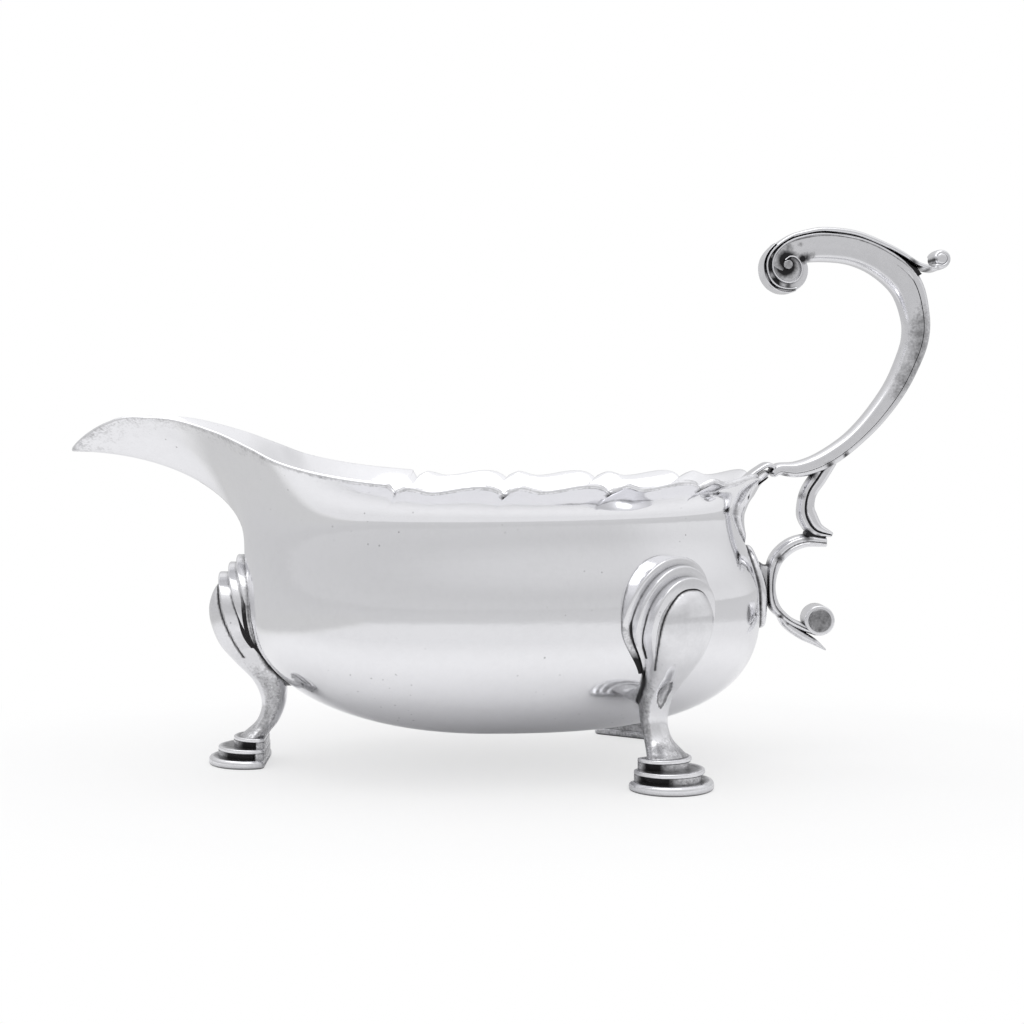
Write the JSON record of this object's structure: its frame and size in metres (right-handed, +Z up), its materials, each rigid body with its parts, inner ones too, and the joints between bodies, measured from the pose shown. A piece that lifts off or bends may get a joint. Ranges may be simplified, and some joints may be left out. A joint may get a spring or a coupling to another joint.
{
  "type": "sauce boat",
  "caption": "Silver sauce boat: oval bowl with a scalloped rim and long pouring lip, scroll handle, on short cast legs with stepped hoof feet.",
  "frame": {"origin": "centre of the bounding box in plan, on the plane that the feet stand on", "axes": "+X from the spout to the handle, +Y across the boat, +Z up"},
  "size_m": [0.19, 0.0864, 0.1159],
  "materials": {
    "sheet_silver": "polished, with fine scratches",
    "cast_silver": "polished, dark in the recesses"
  },
  "bodies": {
    "root": {"bowl": "sheet_silver", "front_leg": "cast_silver", "rear_leg_right": "cast_silver", "rear_leg_left": "cast_silver", "handle_arm": "cast_silver", "handle_cap": "cast_silver", "handle_bracket": "cast_silver", "lower_scroll": "cast_silver", "scroll_button": "cast_silver", "scroll_spur": "cast_silver", "back_plate": "cast_silver", "rear_strap": "cast_silver", "rim_tongue": "cast_silver"}
  },
  "joints": []
}
